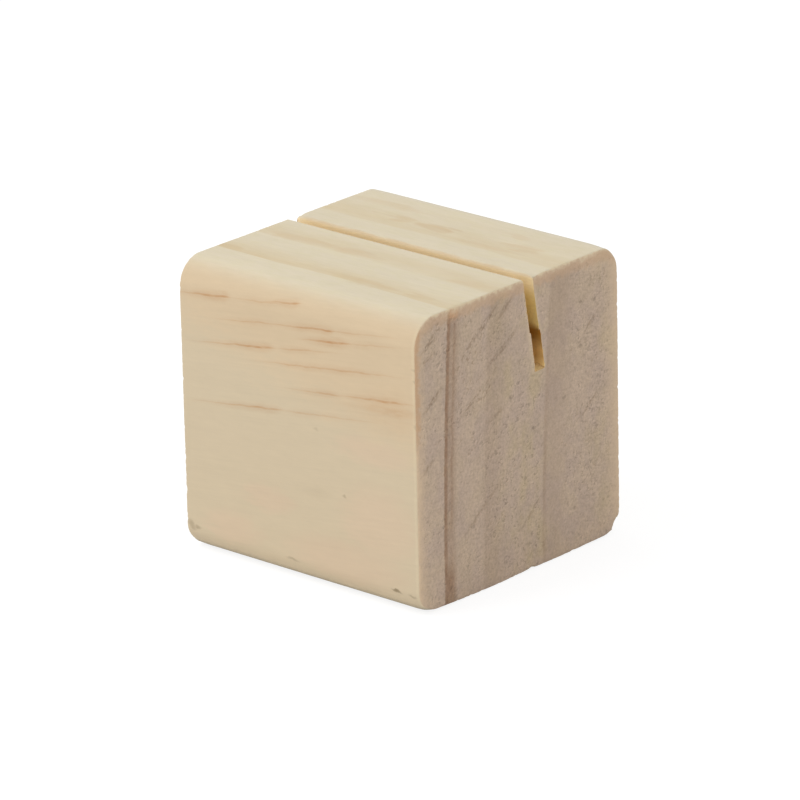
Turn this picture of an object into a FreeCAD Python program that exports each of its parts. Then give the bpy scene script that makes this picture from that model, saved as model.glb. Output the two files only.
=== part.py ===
import FreeCAD, Part
import math
import os

import Sketcher
from FreeCAD import Vector

# Photo block: one solid block of pine with a leaning saw slot that a photo or card stands in.
# It is sawn from dressed stock with rounded long edges, slotted in two passes and sanded.
# Frame: X along the grain and the slot, Y from the front face to the back face, Z up.
# Origin: the middle of the underside, on the table.

# Driving dimensions, in millimetres and degrees
SIZES = {
    # The block over its flat faces
    "block_length": 51.0,
    "block_width": 50.0,
    "block_height": 50.0,
    # Rounding of the four long edges, and the easing round both sawn ends
    "front_top_round": 4.9,
    "back_top_round": 3.8,
    "bottom_round": 4.3,
    "end_ease": 0.5,
    # The slot: the middle of its mouth lies behind the block's middle, and its foot leans to the back
    "slot_offset": 2.35,
    "slot_lean": 9.0,
    "slot_width": 2.2,
    "slot_depth": 15.8,
    # The saw went in twice, and the deeper pass ran a little further back
    "first_pass_depth": 9.4,
    "second_pass_shift": 0.25,
    # Wear on the two lips of the slot
    "front_lip_round": 0.25,
    "back_lip_round": 0.45,
    # How far the cutting profile stands above the block
    "cut_overrun": 2.0,
}

RIGHT_ANGLE = math.pi / 2
HALF_TURN = math.pi

# Ids that a sketch gives to its origin, its horizontal axis and the points of an element
ORIGIN = -1
HORIZONTAL_AXIS = -1
START, END, CENTRE = 1, 2, 3


def make_sheet(doc):
    """The spreadsheet that drives every sketch and feature."""
    sheet = doc.addObject("Spreadsheet::Sheet", "Sizes")
    for row, (name, value) in enumerate(SIZES.items(), start=1):
        sheet.set(f"A{row}", name)
        sheet.set(f"B{row}", str(value))
        sheet.setAlias(f"B{row}", name)
    doc.recompute()
    return sheet


def add_sketch(body, name):
    """An empty sketch on the body's YZ plane, so that it looks along the grain."""
    sketch = body.newObject("Sketcher::SketchObject", name)
    plane = next(item for item in body.Origin.OriginFeatures if item.Role == "YZ_Plane")
    sketch.AttachmentSupport = [(plane, "")]
    sketch.MapMode = "FlatFace"
    return sketch


def add_line(sketch, first, second):
    return sketch.addGeometry(Part.LineSegment(first, second), False)


def add_arc(sketch, centre, radius, first_angle, last_angle):
    circle = Part.Circle(centre, Vector(0, 0, 1), radius)
    return sketch.addGeometry(Part.ArcOfCircle(circle, first_angle, last_angle), False)


def join(sketch, *chain):
    """Makes each (element, point) pair coincide with the pair after it."""
    for (first, first_point), (second, second_point) in zip(chain[::2], chain[1::2]):
        sketch.addConstraint(
            Sketcher.Constraint("Coincident", first, first_point, second, second_point)
        )


def bind(sketch, name, kind, elements, value, expression):
    """Adds a named dimension and drives it from the spreadsheet."""
    index = sketch.addConstraint(Sketcher.Constraint(kind, *elements, value))
    sketch.renameConstraint(index, name)
    sketch.setExpression(f"Constraints.{name}", expression)


def draw_stock_section(body, size):
    """The dressed stock seen along the grain: a square with four rounded corners."""
    sketch = add_sketch(body, "StockSection")
    half = size("block_width") / 2
    top = size("block_height")
    low = size("bottom_round")
    back_top = size("back_top_round")
    front_top = size("front_top_round")

    base = add_line(sketch, Vector(-half + low, 0, 0), Vector(half - low, 0, 0))
    back_low_arc = add_arc(sketch, Vector(half - low, low, 0), low, -RIGHT_ANGLE, 0)
    back = add_line(sketch, Vector(half, low, 0), Vector(half, top - back_top, 0))
    back_top_arc = add_arc(
        sketch, Vector(half - back_top, top - back_top, 0), back_top, 0, RIGHT_ANGLE
    )
    crown = add_line(sketch, Vector(half - back_top, top, 0), Vector(front_top - half, top, 0))
    front_top_arc = add_arc(
        sketch, Vector(front_top - half, top - front_top, 0), front_top, RIGHT_ANGLE, HALF_TURN
    )
    front = add_line(sketch, Vector(-half, top - front_top, 0), Vector(-half, low, 0))
    front_low_arc = add_arc(
        sketch, Vector(low - half, low, 0), low, HALF_TURN, HALF_TURN + RIGHT_ANGLE
    )

    outline = [base, back_low_arc, back, back_top_arc, crown, front_top_arc, front, front_low_arc]
    for first, second in zip(outline, outline[1:] + outline[:1]):
        sketch.addConstraint(Sketcher.Constraint("Tangent", first, END, second, START))
    for flat in (base, crown):
        sketch.addConstraint(Sketcher.Constraint("Horizontal", flat))
    for upright in (back, front):
        sketch.addConstraint(Sketcher.Constraint("Vertical", upright))
    sketch.addConstraint(Sketcher.Constraint("PointOnObject", base, START, HORIZONTAL_AXIS))

    bind(sketch, "height", "DistanceY", (ORIGIN, START, crown, START), top, "Sizes.block_height")
    bind(sketch, "behind", "DistanceX", (ORIGIN, START, back, START), half, "Sizes.block_width / 2")
    bind(sketch, "ahead", "DistanceX", (front, START, ORIGIN, START), half, "Sizes.block_width / 2")
    bind(sketch, "back_low", "Radius", (back_low_arc,), low, "Sizes.bottom_round")
    bind(sketch, "front_low", "Radius", (front_low_arc,), low, "Sizes.bottom_round")
    bind(sketch, "back_top", "Radius", (back_top_arc,), back_top, "Sizes.back_top_round")
    bind(sketch, "front_top", "Radius", (front_top_arc,), front_top, "Sizes.front_top_round")
    return sketch


def draw_slot_section(body, size):
    """The slot seen along the grain: two leaning passes of the saw, and worn lips at the mouth."""
    sketch = add_sketch(body, "SlotSection")
    top = size("block_height")
    lean = math.radians(size("slot_lean"))
    half_mouth = size("slot_width") / 2 / math.cos(lean)
    step_level = top - size("first_pass_depth")
    floor_level = top - size("slot_depth")
    shift = size("second_pass_shift")
    rim = top + size("cut_overrun")
    front_lip = size("front_lip_round")
    back_lip = size("back_lip_round")

    def on_wall(side, level):
        """A point of the first pass on its front (-1) or back (1) wall."""
        across = size("slot_offset") + side * half_mouth + (top - level) * math.tan(lean)
        return Vector(across, level, 0)

    def lip_centre(side, radius):
        return on_wall(side, top - radius) + Vector(side * radius / math.cos(lean), 0, 0)

    further_back = Vector(shift, 0, 0)
    across_wall = Vector(math.cos(lean), math.sin(lean), 0)
    front_centre = lip_centre(-1, front_lip)
    back_centre = lip_centre(1, back_lip)
    front_mouth = front_centre + Vector(0, front_lip, 0)
    back_mouth = back_centre + Vector(0, back_lip, 0)

    front_upper = add_line(
        sketch, on_wall(-1, step_level), front_centre + across_wall * front_lip
    )
    front_arc = add_arc(sketch, front_centre, front_lip, lean, RIGHT_ANGLE)
    front_rise = add_line(sketch, front_mouth, Vector(front_mouth.x, rim, 0))
    mouth = add_line(sketch, Vector(front_mouth.x, rim, 0), Vector(back_mouth.x, rim, 0))
    back_rise = add_line(sketch, Vector(back_mouth.x, rim, 0), back_mouth)
    back_arc = add_arc(sketch, back_centre, back_lip, RIGHT_ANGLE, HALF_TURN + lean)
    back_upper = add_line(
        sketch, back_centre - across_wall * back_lip, on_wall(1, step_level)
    )
    back_step = add_line(
        sketch, on_wall(1, step_level), on_wall(1, step_level) + further_back
    )
    back_lower = add_line(
        sketch, on_wall(1, step_level) + further_back, on_wall(1, floor_level) + further_back
    )
    floor = add_line(
        sketch, on_wall(1, floor_level) + further_back, on_wall(-1, floor_level) + further_back
    )
    front_lower = add_line(
        sketch, on_wall(-1, floor_level) + further_back, on_wall(-1, step_level) + further_back
    )
    front_step = add_line(
        sketch, on_wall(-1, step_level) + further_back, on_wall(-1, step_level)
    )
    middle = sketch.addGeometry(Part.Point(Vector(size("slot_offset"), top, 0)), True)

    join(sketch, (front_arc, END), (front_rise, START), (front_rise, END), (mouth, START))
    join(sketch, (mouth, END), (back_rise, START), (back_rise, END), (back_arc, START))
    join(sketch, (back_upper, END), (back_step, START), (back_step, END), (back_lower, START))
    join(sketch, (back_lower, END), (floor, START), (floor, END), (front_lower, START))
    join(sketch, (front_lower, END), (front_step, START), (front_step, END), (front_upper, START))
    sketch.addConstraint(Sketcher.Constraint("Tangent", front_upper, END, front_arc, START))
    sketch.addConstraint(Sketcher.Constraint("Tangent", back_arc, END, back_upper, START))
    for wall in (front_lower, back_upper, back_lower):
        sketch.addConstraint(Sketcher.Constraint("Parallel", front_upper, wall))
    for level in (mouth, floor, front_step, back_step):
        sketch.addConstraint(Sketcher.Constraint("Horizontal", level))
    for upright in (front_rise, back_rise):
        sketch.addConstraint(Sketcher.Constraint("Vertical", upright))
    for arc, tip in ((front_arc, END), (back_arc, START)):
        sketch.addConstraint(Sketcher.Constraint("Vertical", arc, CENTRE, arc, tip))
        sketch.addConstraint(Sketcher.Constraint("Horizontal", arc, tip, middle, START))

    bind(sketch, "level", "DistanceY", (ORIGIN, START, middle, START), top, "Sizes.block_height")
    bind(
        sketch, "offset", "DistanceX", (ORIGIN, START, middle, START),
        size("slot_offset"), "Sizes.slot_offset",
    )
    bind(
        sketch, "lean", "Angle", (front_upper,),
        RIGHT_ANGLE + lean, "90 deg + Sizes.slot_lean * 1 deg",
    )
    for name, wall in (("ahead", front_upper), ("behind", back_upper)):
        bind(
            sketch, name, "Distance", (middle, START, wall),
            size("slot_width") / 2, "Sizes.slot_width / 2",
        )
    for name, corner in (("front_pass", front_upper), ("back_pass", back_step)):
        bind(
            sketch, name, "DistanceY", (corner, START, middle, START),
            size("first_pass_depth"), "Sizes.first_pass_depth",
        )
    bind(
        sketch, "depth", "DistanceY", (floor, START, middle, START),
        size("slot_depth"), "Sizes.slot_depth",
    )
    bind(
        sketch, "front_shift", "DistanceX", (front_step, END, front_step, START),
        shift, "Sizes.second_pass_shift",
    )
    bind(
        sketch, "back_shift", "DistanceX", (back_step, START, back_step, END),
        shift, "Sizes.second_pass_shift",
    )
    bind(sketch, "front_lip", "Radius", (front_arc,), front_lip, "Sizes.front_lip_round")
    bind(sketch, "back_lip", "Radius", (back_arc,), back_lip, "Sizes.back_lip_round")
    bind(
        sketch, "overrun", "DistanceY", (front_rise, START, front_rise, END),
        size("cut_overrun"), "Sizes.cut_overrun",
    )
    return sketch


def end_edges(solid):
    """Names of the edges that lie wholly in one of the two sawn ends."""
    names = []
    for number, edge in enumerate(solid.Edges, start=1):
        box = edge.BoundBox
        if math.isclose(box.XMin, box.XMax, abs_tol=Part.Precision.confusion()):
            names.append(f"Edge{number}")
    return names


def make_block(doc, size):
    """The block itself: stock cut to length, ends eased, then the slot sawn right through."""
    body = doc.addObject("PartDesign::Body", "PineBlock")
    body.Label = "pine_block"
    body.Placement = FreeCAD.Placement()

    stock = body.newObject("PartDesign::Pad", "StockLength")
    stock.Profile = draw_stock_section(body, size)
    stock.SideType = "Symmetric"
    stock.setExpression("Length", "Sizes.block_length")
    doc.recompute()

    eased = body.newObject("PartDesign::Fillet", "EasedEnds")
    eased.Base = (stock, end_edges(stock.Shape))
    eased.setExpression("Radius", "Sizes.end_ease")
    doc.recompute()

    slot = body.newObject("PartDesign::Pocket", "SlotThrough")
    slot.Profile = draw_slot_section(body, size)
    slot.SideType = "Symmetric"
    slot.Type = "ThroughAll"
    body.Tip = slot
    doc.recompute()

    sawdust = eased.Shape.Volume - slot.Shape.Volume
    print(f"slot removes {sawdust:.1f} mm3 of {eased.Shape.Volume:.0f} mm3")
    if sawdust <= 0:
        raise RuntimeError("The slot cuts nothing")
    return body


def check_document(doc, bodies):
    """Stops before anything is written when a feature failed or a solid isn't sound."""
    for item in doc.Objects:
        if "Invalid" in item.State or "Error" in item.State:
            raise RuntimeError(f"{item.Label} failed: {item.State}")
        if item.isDerivedFrom("Sketcher::SketchObject") and not item.FullyConstrained:
            raise RuntimeError(f"{item.Label} isn't fully constrained")
    for body in bodies:
        if body.Shape.isNull() or not body.Shape.isValid():
            raise RuntimeError(f"{body.Label} isn't a valid solid")
        box = body.Shape.optimalBoundingBox()
        print(f"{body.Label}: {box.XLength:.2f} x {box.YLength:.2f} x {box.ZLength:.2f} mm")


doc = FreeCAD.newDocument("PhotoBlock")
sheet = make_sheet(doc)
bodies = [make_block(doc, sheet.get)]
doc.recompute()
check_document(doc, bodies)
os.makedirs("parts", exist_ok=True)
for body in bodies:
    body.Shape.exportStep(f"parts/{body.Label}.step")
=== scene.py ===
import functools
import math

import bpy
import numpy as np
from mathutils import Matrix, Vector, noise
from mathutils.geometry import delaunay_2d_cdt


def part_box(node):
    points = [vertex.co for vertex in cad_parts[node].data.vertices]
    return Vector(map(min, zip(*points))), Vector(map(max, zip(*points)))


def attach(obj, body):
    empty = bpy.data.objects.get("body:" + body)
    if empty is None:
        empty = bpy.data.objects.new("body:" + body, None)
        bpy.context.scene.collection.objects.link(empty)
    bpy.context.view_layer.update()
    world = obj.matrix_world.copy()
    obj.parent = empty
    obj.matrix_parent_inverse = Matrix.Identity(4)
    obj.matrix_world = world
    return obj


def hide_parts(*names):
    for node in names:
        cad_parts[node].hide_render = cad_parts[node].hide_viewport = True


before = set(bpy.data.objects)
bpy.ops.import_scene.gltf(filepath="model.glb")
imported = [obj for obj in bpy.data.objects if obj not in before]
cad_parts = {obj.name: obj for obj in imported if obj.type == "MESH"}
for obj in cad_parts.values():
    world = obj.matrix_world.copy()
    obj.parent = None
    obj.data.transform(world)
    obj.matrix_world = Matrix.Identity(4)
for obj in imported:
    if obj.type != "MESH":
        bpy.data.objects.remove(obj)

# A photo block of solid pine. X runs along the grain and the slot, Y to the back, Z up.
# Shapes and patterns are worked out in millimetres and scaled to metres at the end.
MM = 0.001
RIGHT_ANGLE = math.pi / 2

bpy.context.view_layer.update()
LOW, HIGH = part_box("pine_block")
LENGTH, WIDTH, HEIGHT = ((HIGH - LOW) / MM)[:]
HALF_LENGTH = LENGTH / 2
HALF_WIDTH = WIDTH / 2

# Rounding of the long edges, and the easing round both sawn ends
FRONT_TOP_ROUND = 4.9
BACK_TOP_ROUND = 3.8
BOTTOM_ROUND = 4.3
END_EASE = 0.5

# The slot: two leaning passes of the saw, the deeper one a little further back
SLOT_OFFSET = 2.35
SLOT_LEAN = math.radians(9)
SLOT_WIDTH = 2.2
SLOT_DEPTH = 15.8
FIRST_PASS_DEPTH = 9.4
SECOND_PASS_SHIFT = 0.25
FRONT_LIP_ROUND = 0.25
BACK_LIP_ROUND = 0.45

# How finely the surface is divided
SPACING = 0.42
MIDDLE_RING_SPACING = 0.62
END_RING_SPACING = 0.24
END_ZONE = 3.0
EASE_RINGS = 6
CAP_SPACING = 0.42
# Points on each rounded long edge and on each lip of the slot
BOTTOM_STEPS = 16
BACK_TOP_STEPS = 15
FRONT_TOP_STEPS = 18
BACK_LIP_STEPS = 6
FRONT_LIP_STEPS = 4
# How far a sawn end's inner points stray and how clear of its rim they stay, as shares of their spacing
CAP_JITTER = 0.25
CAP_CLEARANCE = 0.7
# Edges that turn by more than this stay sharp
SHARP_ANGLE = math.radians(50)
# Distances in millimetres that count as none
TOUCHING = 1e-6
NO_LENGTH = 1e-12

# Camera, from the block's own edges in the photograph
CAMERA_AZIMUTH = math.radians(41.830)
CAMERA_ELEVATION = math.radians(19.833)
CAMERA_ROLL = math.radians(-1.239)
CAMERA_DISTANCE = 1.0625
CAMERA_TRACK = (-0.00020, -0.00062)
CAMERA_AIM = Vector((0, 0, 0.025))
CAMERA_LENS = 293.3
CAMERA_SENSOR = 36.0
CAMERA_NEAREST = 0.01


def make_camera():
    """The photograph's view: a long lens from the front right, a little above the block."""
    around, above = CAMERA_AZIMUTH, CAMERA_ELEVATION
    back = Vector((
        math.sin(around) * math.cos(above), -math.cos(around) * math.cos(above), math.sin(above)
    ))
    level = Vector((math.cos(around), math.sin(around), 0))
    upright = back.cross(level)
    right = math.cos(CAMERA_ROLL) * level + math.sin(CAMERA_ROLL) * upright
    up = math.cos(CAMERA_ROLL) * upright - math.sin(CAMERA_ROLL) * level
    place = CAMERA_AIM + back * CAMERA_DISTANCE + right * CAMERA_TRACK[0] + up * CAMERA_TRACK[1]

    data = bpy.data.cameras.new("Camera")
    data.lens = CAMERA_LENS
    data.sensor_width = CAMERA_SENSOR
    data.clip_start = CAMERA_NEAREST
    camera = bpy.data.objects.new("Camera", data)
    camera.matrix_world = Matrix.Translation(place) @ Matrix((right, up, back)).transposed().to_4x4()
    bpy.context.scene.collection.objects.link(camera)
    bpy.context.scene.camera = camera


# The block's surface

def line(start, end, count):
    """Evenly spaced points from start up to, but not with, end."""
    share = np.arange(count)[:, None] / count
    return np.array(start) * (1 - share) + np.array(end) * share


def arc(centre, radius, first, last, count):
    """Points on a quarter or so of a circle, up to but not with its last one."""
    angle = first + (last - first) * np.arange(count) / count
    return np.array(centre) + radius * np.stack([np.cos(angle), np.sin(angle)], 1)


def steps(size):
    """How many parts a straight stretch is divided into."""
    return max(1, round(size / SPACING))


def on_slot_wall(side, level):
    """Where the first pass's front (-1) or back (1) wall is at a level."""
    across = SLOT_OFFSET + side * SLOT_WIDTH / 2 / math.cos(SLOT_LEAN)
    return np.array([across + (HEIGHT - level) * math.tan(SLOT_LEAN), level])


def slot_outline(top):
    """The slot from its back lip down, across and up to its front lip, and where both lips start."""
    step_level = HEIGHT - FIRST_PASS_DEPTH
    floor_level = HEIGHT - SLOT_DEPTH
    shift = np.array([SECOND_PASS_SHIFT, 0])
    wall_turn = np.array([math.cos(SLOT_LEAN), math.sin(SLOT_LEAN)])
    centres = {}
    for side, radius in ((1, BACK_LIP_ROUND), (-1, FRONT_LIP_ROUND)):
        reach = np.array([side * radius / math.cos(SLOT_LEAN), 0])
        centres[side] = on_slot_wall(side, top - radius) + reach
    upper = steps(FIRST_PASS_DEPTH)
    lower = steps(SLOT_DEPTH - FIRST_PASS_DEPTH)
    across = steps(SLOT_WIDTH)
    back_step, front_step = on_slot_wall(1, step_level), on_slot_wall(-1, step_level)
    back_foot = on_slot_wall(1, floor_level) + shift
    front_foot = on_slot_wall(-1, floor_level) + shift
    back_lip_foot = centres[1] - wall_turn * BACK_LIP_ROUND
    front_lip_foot = centres[-1] + wall_turn * FRONT_LIP_ROUND
    return [
        arc(centres[1], BACK_LIP_ROUND, RIGHT_ANGLE, math.pi + SLOT_LEAN, BACK_LIP_STEPS),
        line(back_lip_foot, back_step, upper),
        line(back_step, back_step + shift, 1),
        line(back_step + shift, back_foot, lower),
        line(back_foot, front_foot, across),
        line(front_foot, front_step + shift, lower),
        line(front_step + shift, front_step, 1),
        line(front_step, front_lip_foot, upper),
        arc(centres[-1], FRONT_LIP_ROUND, SLOT_LEAN, RIGHT_ANGLE, FRONT_LIP_STEPS),
    ], centres[1][0], centres[-1][0]


def section(inset):
    """The block's section, counter-clockwise seen from +X, with its outside drawn in by inset,
    and the first and last of its points that lie in the slot."""
    top = HEIGHT - inset
    side = HALF_WIDTH - inset
    low, back_top, front_top = BOTTOM_ROUND, BACK_TOP_ROUND, FRONT_TOP_ROUND
    slot, back_mouth, front_mouth = slot_outline(top)
    flat = steps(WIDTH - 2 * low)
    upright_back = steps(HEIGHT - low - back_top)
    upright_front = steps(HEIGHT - low - front_top)
    pieces = [
        line((low - HALF_WIDTH, inset), (HALF_WIDTH - low, inset), flat),
        arc((HALF_WIDTH - low, low), low - inset, -RIGHT_ANGLE, 0, BOTTOM_STEPS),
        line((side, low), (side, HEIGHT - back_top), upright_back),
        arc((HALF_WIDTH - back_top, HEIGHT - back_top), back_top - inset, 0, RIGHT_ANGLE, BACK_TOP_STEPS),
        line((HALF_WIDTH - back_top, top), (back_mouth, top), steps(HALF_WIDTH - SLOT_OFFSET)),
        *slot,
        line((front_mouth, top), (front_top - HALF_WIDTH, top), steps(HALF_WIDTH)),
        arc(
            (front_top - HALF_WIDTH, HEIGHT - front_top), front_top - inset,
            RIGHT_ANGLE, 2 * RIGHT_ANGLE, FRONT_TOP_STEPS,
        ),
        line((-side, HEIGHT - front_top), (-side, low), upright_front),
        arc((low - HALF_WIDTH, low), low - inset, 2 * RIGHT_ANGLE, 3 * RIGHT_ANGLE, BOTTOM_STEPS),
    ]
    before = sum(len(piece) for piece in pieces[:5])
    in_slot = sum(len(piece) for piece in slot)
    return np.concatenate(pieces), (before, before + in_slot)


def ring_places():
    """(x, inset) of each ring of the surface, from one sawn end to the other."""
    flat = HALF_LENGTH - END_EASE
    near = np.linspace(flat, flat - END_ZONE, round(END_ZONE / END_RING_SPACING) + 1)[:-1]
    inner = flat - END_ZONE
    middle = np.linspace(inner, -inner, round(2 * inner / MIDDLE_RING_SPACING) + 1)
    turn = RIGHT_ANGLE * np.arange(EASE_RINGS, 0, -1) / EASE_RINGS
    eased = [(flat + END_EASE * math.sin(t), END_EASE * (1 - math.cos(t))) for t in turn]
    places = eased + [(x, 0.0) for x in near] + [(x, 0.0) for x in middle]
    places += [(-x, 0.0) for x in near[::-1]] + [(-x, inset) for x, inset in eased[::-1]]
    return places


def cap_lattice(outline, seed):
    """Points spread over a sawn end, kept clear of its outline."""
    rng = np.random.default_rng(seed)
    count = int(WIDTH / CAP_SPACING)
    grid = (np.arange(count) + 0.5) / count * WIDTH
    y, z = np.meshgrid(grid - HALF_WIDTH, grid)
    points = np.stack([y.ravel(), z.ravel()], 1)
    points += rng.uniform(-CAP_JITTER, CAP_JITTER, points.shape) * CAP_SPACING
    gap = np.full(len(points), np.inf)
    for spot in outline:
        gap = np.minimum(gap, np.linalg.norm(points - spot, axis=1))
    return points[gap > CAP_CLEARANCE * CAP_SPACING]


def cap(ring, first, next_free, seed):
    """A sawn end within its ring, whose points are numbered from first: its inner points, which
    are numbered from next_free, and triangles that face +X."""
    outline = ring[:, 1:]
    count = len(outline)
    points = [Vector(point) for point in np.concatenate([outline, cap_lattice(outline, seed)])]
    rim = [(i, (i + 1) % count) for i in range(count)]
    found = delaunay_2d_cdt(points, rim, [list(range(count))], 1, TOUCHING)
    spots, triangles, origins = found[0], found[2], found[3]
    numbers = []
    inner = []
    for spot, origin in zip(spots, origins):
        on_rim = [number for number in origin if number < count]
        if on_rim:
            numbers.append(first + on_rim[0])
        else:
            numbers.append(next_free + len(inner))
            inner.append((ring[0][0], spot[0], spot[1]))
    return np.array(inner), [tuple(numbers[i] for i in triangle) for triangle in triangles]


def long_faces(ring_count, count):
    """Quads between neighbouring rings, which face outward."""
    faces = []
    for ring in range(ring_count - 1):
        here, there = ring * count, (ring + 1) * count
        for i in range(count):
            j = (i + 1) % count
            faces.append((here + i, there + i, there + j, here + j))
    return faces


def build_surface():
    """All points in millimetres, the faces, and which points belong to the slot."""
    rings = []
    for x, inset in ring_places():
        loop, (slot_first, slot_last) = section(inset)
        rings.append(np.column_stack([np.full(len(loop), x), loop]))
    count = len(rings[0])
    last = len(rings) - 1
    points = [np.concatenate(rings)]
    faces = long_faces(len(rings), count)
    total = len(points[0])
    for number in (0, last):
        inner, triangles = cap(rings[number], number * count, total, seed=number + 1)
        points.append(inner)
        total += len(inner)
        faces += [corners[::-1] for corners in triangles] if number == last else triangles
    slot = np.zeros(total)
    for number in range(len(rings)):
        slot[number * count + slot_first:number * count + slot_last] = 1
    return np.concatenate(points), faces, slot


def smooth(value, low, high):
    """0 below low, 1 above high, and a smooth rise between."""
    t = np.clip((value - low) / (high - low), 0, 1)
    return t * t * (3 - 2 * t)


# How far apart the noises of two seeds are taken, on the surface and in the material
SEED_STEP = 17.3
NODE_SEED_STEP = 13.7


def rough(points, scale, seed):
    """Soft noise from -1 to 1 at each point. Scale gives the waves per millimetre along each axis."""
    spots = points * np.array(scale) + SEED_STEP * seed
    return np.array([noise.noise(Vector(spot)) for spot in spots])


# How deep the planed faces and the sawn ends are worn, and how high the ends' ridges and grit stand
PLANED_WEAR = 0.05
SAWN_WEAR = 0.07
SAW_RIDGE = 0.05
SAW_GRIT = 0.03
# Nicks in the edges round the sawn ends, which go deeper in the slot
NICK_DEPTH = 0.30
SLOT_NICK_DEPTH = 0.40
NICK_THRESHOLD = 0.15
ARRIS_INSET = 0.15
ARRIS_REACH = 0.35
# How much of the wear reaches the slot's walls
SLOT_WEAR_SHARE = 0.6
# (x, y, z, depth, reach) of each corner that is rubbed more than the rest
WORN_CORNERS = (
    (25.5, -24.6, 1.0, 0.20, 1.6),
    (25.5, 24.2, 49.0, 0.35, 2.4),
    (25.5, -23.8, 48.8, 0.16, 1.6),
    (25.6, 3.9, 50.1, 0.50, 1.2),
    (-25.6, 3.9, 50.1, 0.28, 1.0),
    (-25.5, -24.0, 1.2, 0.20, 1.8),
    (-25.5, 24.2, 1.2, 0.30, 1.8),
    (-25.5, 24.0, 48.8, 0.25, 1.5),
)
# How far the foot of the right end is worn up, as (y, height)
FOOT_WEAR = (
    (-24.0, 0.55), (-22.0, 0.5), (-20.0, 0.4), (-15.0, 0.2), (-10.0, 0.1), (-5.0, 0.05),
    (0.0, 0.15), (1.8, 0.25), (2.6, 0.5), (3.6, 0.15), (10.0, 0.1), (15.0, 0.15), (21.0, 0.25),
)
FOOT_WEAR_REACH = 1.2
# How far the slot's floor is worn down where it meets the right end, and where, as (y, z)
FLOOR_WEAR = 0.45
FLOOR_WEAR_PLACE = (4.95, HEIGHT - SLOT_DEPTH)
FLOOR_WEAR_REACH = (1.7, 0.8)
# The chip at the foot of the right end: a scoop with this middle and these radii
CHIP_MIDDLE = np.array([26.5, 28.1, -2.3])
CHIP_RADII = np.array([9.5, 6.5, 6.5])
CHIP_ROUGHNESS = 0.04
# Angle of the coarse saw's marks on the end, rising to the back
SAW_MARK_ANGLE = math.radians(40)
# Angle of the wood's fine rays on the end, falling to the back
RAY_ANGLE = math.radians(-13)


def sawn_wear(points):
    """The sawn ends: ridges along the coarse saw's marks, and grit."""
    x, y, z = points.T
    along = y * math.cos(SAW_MARK_ANGLE) + z * math.sin(SAW_MARK_ANGLE)
    across = z * math.cos(SAW_MARK_ANGLE) - y * math.sin(SAW_MARK_ANGLE)
    ridges = rough(np.column_stack([along, across, x]), (0.12, 0.9, 0.05), 2)
    grit = rough(points, (0.5, 1.1, 1.1), 3)
    return SAWN_WEAR + SAW_RIDGE * ridges + SAW_GRIT * grit


def nicks(points, slot):
    """Small nicks in the edges round both sawn ends."""
    arris = np.exp(-((np.abs(points[:, 0]) - HALF_LENGTH + ARRIS_INSET) / ARRIS_REACH) ** 2)
    nick = np.maximum(0, rough(points, (1.2, 1.6, 1.6), 4) - NICK_THRESHOLD)
    return np.where(slot, SLOT_NICK_DEPTH, NICK_DEPTH) * nick * arris


def corner_wear(points):
    """How much more each point near a rubbed corner is worn."""
    depth = np.zeros(len(points))
    for *corner, deep, reach in WORN_CORNERS:
        away = np.linalg.norm(points - np.array(corner), axis=1)
        depth += deep * np.exp(-(away / reach) ** 2)
    return depth


def right_end_wear(points):
    """How much higher the right end's worn foot is, and how much lower the slot's floor there."""
    x, y, z = points.T
    places, heights = np.array(FOOT_WEAR).T
    at_foot = np.exp(-((x - HALF_LENGTH) / FOOT_WEAR_REACH) ** 2 - (z / FOOT_WEAR_REACH) ** 2)
    across = (y - FLOOR_WEAR_PLACE[0]) / FLOOR_WEAR_REACH[0]
    level = (z - FLOOR_WEAR_PLACE[1]) / FLOOR_WEAR_REACH[1]
    at_floor = np.exp(-(x - HALF_LENGTH) ** 2 - across ** 4 - level ** 2)
    return np.interp(y, places, heights) * at_foot - FLOOR_WEAR * at_floor


def wear(points, normals, slot):
    """Moves the ideal surface inward as sawing, sanding and handling have done."""
    on_end = smooth(np.abs(normals[:, 0]), 0.5, 0.9)
    wavy = rough(points, (0.05, 0.09, 0.09), 1)
    depth = PLANED_WEAR * (0.5 + 0.5 * wavy) * (1 - on_end) + sawn_wear(points) * on_end
    depth += nicks(points, slot) + corner_wear(points)
    depth *= np.where(slot, SLOT_WEAR_SHARE, 1)
    worn = points - normals * depth[:, None]
    worn[:, 2] += right_end_wear(points)
    return worn


def cut_chip(points):
    """Pushes the points inside the chip's scoop out to its rough wall."""
    away = (points - CHIP_MIDDLE) / CHIP_RADII
    share = np.linalg.norm(away, axis=1)
    inside = share < 1
    fibre = rough(points[inside], (0.25, 1.7, 1.7), 6)
    wall = 1 + CHIP_ROUGHNESS * fibre
    points[inside] = CHIP_MIDDLE + away[inside] / share[inside, None] * wall[:, None] * CHIP_RADII
    return inside


def point_normals(points, faces):
    """Area-weighted normal at each point."""
    normals = np.zeros_like(points)
    for size in (3, 4):
        group = np.array([face for face in faces if len(face) == size])
        corners = points[group]
        facing = np.cross(corners[:, 1] - corners[:, 0], corners[:, 2] - corners[:, 0])
        for k in range(size):
            np.add.at(normals, group[:, k], facing)
    return normals / np.maximum(np.linalg.norm(normals, axis=1, keepdims=True), NO_LENGTH)


def keep_in_box(points):
    """The worn surface never stands outside the sound block."""
    low = np.array([-HALF_LENGTH, -HALF_WIDTH, 0])
    high = np.array([HALF_LENGTH, HALF_WIDTH, HEIGHT])
    return np.clip(points, low, high)


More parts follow.
